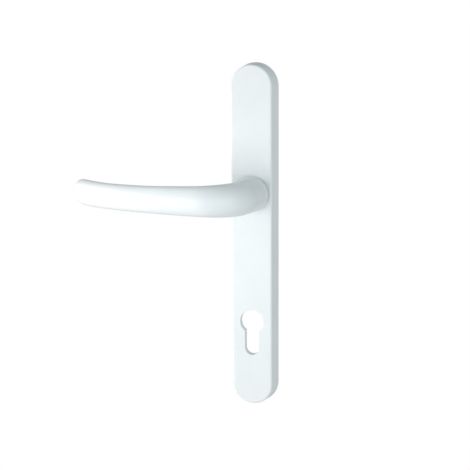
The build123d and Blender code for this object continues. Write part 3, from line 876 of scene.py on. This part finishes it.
def scatter_tree():
    """The pattern object's mesh once at each point of a line of evenly spaced points."""
    tree, given, output = nodes_tree(
        "screw_row", ("Screw", "Object"), ("Count", "Int"), ("First", "Vector"), ("Step", "Vector"),
        ("Material", "Material"),
    )
    line = node(tree, "GeometryNodeMeshLine", {
        "Count": given["Count"], "Start Location": given["First"], "Offset": given["Step"],
    }, mode="OFFSET").outputs[0]
    shape = node(tree, "GeometryNodeObjectInfo", {
        "Object": given["Screw"], "As Instance": True,
    }).outputs["Geometry"]
    placed = node(tree, "GeometryNodeInstanceOnPoints", {"Points": line, "Instance": shape}).outputs[0]
    finish_tree(tree, output, placed, given["Material"])
    return tree


screw_low, screw_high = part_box("cover_screw_upper")
screw_pattern = bpy.data.objects.new(
    "screw_pattern", screw_mesh(-screw_high.y + HEAD_HEIGHT, -screw_low.y)
)
bpy.context.scene.collection.objects.link(screw_pattern)
screw_z = screw_high.z - HEAD_RADIUS
screws = grown(
    "cover_screws_piece", scatter_tree(), Screw=screw_pattern, Count=2, First=(0, 0, -screw_z),
    Step=(0, 0, 2 * screw_z), Material=zinc_plate,
)
bpy.data.objects.remove(screw_pattern)
dressed(screws, zinc_plate, "zinc_plated_steel", "plate", "cover_screw_upper", "cover_screw_lower")


# ---- Studio -----------------------------------------------------------------------------------------
# A plain white floor and surround. A warm soft light on the left whitens the lever, a weaker one stands in
# front on the right, a small close one brightens the middle of the plate, and a wide one lights the rear.
VIEW_DISTANCE = 564.573 * MM
VIEW_TURN = math.radians(17.505)
VIEW_LIFT = math.radians(10.152)
VIEW_ROLL = math.radians(-0.544)
VIEW_TARGET = Vector((-15.872, 0, -31.674)) * MM
FILM_WIDTH = 36.0
FOCAL_LENGTH = 59.89
camera_data = bpy.data.cameras.new("camera")
camera_data.sensor_width = FILM_WIDTH
camera_data.lens = FOCAL_LENGTH
camera_data.clip_start = 0.01
camera_data.clip_end = 50
camera = bpy.data.objects.new("camera", camera_data)
bpy.context.scene.collection.objects.link(camera)
back = Vector((
    math.sin(VIEW_TURN) * math.cos(VIEW_LIFT),
    -math.cos(VIEW_TURN) * math.cos(VIEW_LIFT),
    math.sin(VIEW_LIFT),
))
level = Vector((math.cos(VIEW_TURN), math.sin(VIEW_TURN), 0))
upright = back.cross(level)
right = math.cos(VIEW_ROLL) * level + math.sin(VIEW_ROLL) * upright
up = math.cos(VIEW_ROLL) * upright - math.sin(VIEW_ROLL) * level
turned = Matrix((right, up, back)).transposed().to_4x4()
camera.matrix_world = Matrix.Translation(VIEW_TARGET + back * VIEW_DISTANCE) @ turned
bpy.context.scene.camera = camera

FLOOR_Z = cad_box[0][2] - 160 * MM
FLOOR_HALF = 6.0
FLOOR_GREY = (0.3, 0.3, 0.3, 1)
FLOOR_GLOW = 0.30
ROOM_TINT = (0.91, 1.0, 1.03, 1)
ROOM_GLOW = 0.39
WHITE = (1, 1, 1, 1)
floor_mesh = bpy.data.meshes.new("floor")
floor = bpy.data.objects.new("floor", floor_mesh)
bpy.context.scene.collection.objects.link(floor)
corners = ((-1, -1), (1, -1), (1, 1), (-1, 1))
floor_mesh.from_pydata([(x * FLOOR_HALF, y * FLOOR_HALF, FLOOR_Z) for x, y in corners], [], [(0, 1, 2, 3)])


def seen_white(tree, lit, output):
    """Shows plain white to the eye and the lit shader to everything else, so the ground stays clean."""
    white = node(tree, "ShaderNodeEmission" if "Material" in output.name else "ShaderNodeBackground",
                 {"Color": WHITE, "Strength": 1.0})
    ray = node(tree, "ShaderNodeLightPath").outputs["Is Camera Ray"]
    choose = node(tree, "ShaderNodeMixShader", {0: ray, 1: lit, 2: white.outputs[0]})
    tree.links.new(choose.outputs[0], output.inputs["Surface"])


floor_paint, floor_tree, floor_shader = surface("pale_floor", 0.8)[:3]
floor_shader.inputs["Base Color"].default_value = FLOOR_GREY
floor_shader.inputs["Emission Color"].default_value = WHITE
floor_shader.inputs["Emission Strength"].default_value = FLOOR_GLOW
seen_white(floor_tree, floor_shader.outputs[0], floor_tree.nodes["Material Output"])
floor_mesh.materials.append(floor_paint)

LIGHT_AIM = Vector((-20, 0, -30)) * MM


def soft_light(name, place, size, power, colour=(1, 1, 1)):
    """A large square soft light at a place, facing the handle."""
    data = bpy.data.lights.new(name, "AREA")
    data.shape = "SQUARE"
    data.size = size
    data.energy = power
    data.color = colour
    light = bpy.data.objects.new(name, data)
    light.visible_camera = False
    light.location = place
    light.rotation_euler = (LIGHT_AIM - Vector(place)).to_track_quat("-Z", "Y").to_euler()
    bpy.context.scene.collection.objects.link(light)


soft_light("left", (-1.2, -0.3, 0.07), 0.9, 10.8, (1.0, 0.90, 0.83))
soft_light("right_front", (0.85, -0.85, 0.0), 0.9, 5.0, (0.95, 1.0, 1.0))
soft_light("front", (-0.15, -0.35, -0.06), 0.25, 0.49)
soft_light("behind", (-0.3, 1.2, -0.4), 1.8, 5.2)

world = bpy.data.worlds.new("studio")
world.use_nodes = True
bpy.context.scene.world = world
background = world.node_tree.nodes["Background"]
background.inputs["Color"].default_value = ROOM_TINT
background.inputs["Strength"].default_value = ROOM_GLOW
seen_white(world.node_tree, background.outputs[0], world.node_tree.nodes["World Output"])
bpy.context.scene.view_settings.view_transform = "Standard"
